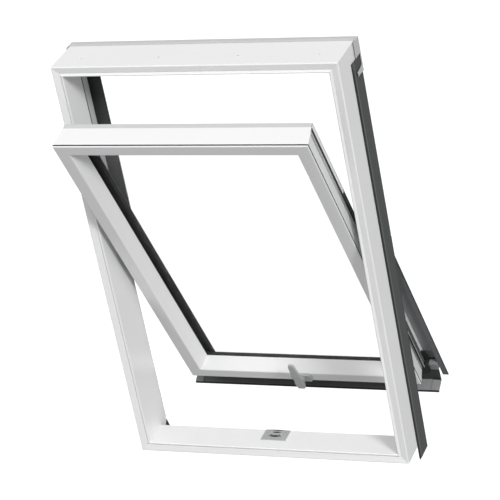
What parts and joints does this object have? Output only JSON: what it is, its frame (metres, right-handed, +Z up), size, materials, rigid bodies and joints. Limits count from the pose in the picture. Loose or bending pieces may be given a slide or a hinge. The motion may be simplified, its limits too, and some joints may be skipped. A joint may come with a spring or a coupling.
{
  "type": "roof window",
  "caption": "Centre-pivot roof window with a white plastic frame, a double-glazed tilting sash, a lever handle and dark outer metal covers.",
  "frame": {"origin": "middle of the sill's flat bottom face, halfway through the depth of the plastic frame", "axes": "+X to the right as seen from the room, +Y out through the roof, +Z up the slope of the roof"},
  "size_m": [0.7896, 0.5906, 1.2242],
  "materials": {
    "white_plastic": "satin",
    "dark_metal": "powder coated, satin",
    "light_metal": "plain",
    "galvanised": "galvanised",
    "hardware": "zinc plated",
    "grey_plastic": "satin",
    "handle_metal": "silver grey lacquer",
    "black_rubber": "matt",
    "glazing": "clear",
    "spacer": "dark, matt",
    "block_plastic": "matt"
  },
  "bodies": {
    "frame": {"frame_head": "white_plastic", "frame_sill": "white_plastic", "frame_jamb_left": "white_plastic", "frame_jamb_right": "white_plastic", "frame_steel_head": "galvanised", "frame_steel_sill": "galvanised", "frame_steel_left": "galvanised", "frame_steel_right": "galvanised", "head_cap": "light_metal", "side_cladding_left": "dark_metal", "side_cladding_right": "dark_metal", "cladding_seal_left": "black_rubber", "cladding_seal_right": "black_rubber", "upper_cover_left": "dark_metal", "upper_cover_right": "dark_metal", "sill_cladding": "dark_metal", "upper_trims": "light_metal", "frame_seal": "black_rubber", "strike_plate": "hardware", "frame_hinge_left": "hardware", "frame_hinge_right": "hardware", "pivot_pins": "hardware", "friction_pads": "grey_plastic", "frame_screws": "hardware"},
    "sash": {"sash_top": "white_plastic", "sash_bottom": "white_plastic", "sash_left": "white_plastic", "sash_right": "white_plastic", "sash_steel_top": "galvanised", "sash_steel_bottom": "galvanised", "sash_steel_left": "galvanised", "sash_steel_right": "galvanised", "glass_inner": "glazing", "glass_outer": "glazing", "spacer_bar": "spacer", "edge_seal": "black_rubber", "inner_gasket": "black_rubber", "outer_gasket": "black_rubber", "setting_blocks": "block_plastic", "sash_cover_top": "light_metal", "sash_cover_bottom": "dark_metal", "sash_cover_left": "dark_metal", "sash_cover_right": "dark_metal", "lower_cover_left": "dark_metal", "lower_cover_right": "dark_metal", "cover_rail_left": "light_metal", "cover_rail_right": "light_metal", "apron": "dark_metal", "apron_seal": "black_rubber", "apron_ends": "grey_plastic", "sash_seal": "black_rubber", "sash_hinge_left": "hardware", "sash_hinge_right": "hardware", "sash_screws": "hardware", "handle_base": "handle_metal", "lock_case": "hardware"},
    "handle": {"handle_lever": "handle_metal", "handle_spindle": "hardware"},
    "latch": {"latch_tongue": "hardware"}
  },
  "joints": [
    {"name": "sash_pivot", "type": "hinge", "parent": "frame", "child": "sash", "pos_m": [0, 0.088, 0.599], "axis": [1, 0, 0], "range_deg": [-25.5, 134.5]},
    {"name": "handle_turn", "type": "hinge", "parent": "sash", "child": "handle", "pos_m": [0, 0.23093, 0.07333], "axis": [0, 0.9026, 0.4305], "range_deg": [0, 90]},
    {"name": "latch_slide", "type": "slide", "parent": "sash", "child": "latch", "axis": [0, 0.4305, -0.9026], "range_m": [0, 0.012]}
  ],
  "couplings": [
    {"joint": "latch_slide", "follows": "handle_turn", "m_per_rad": 0.0076394}
  ]
}
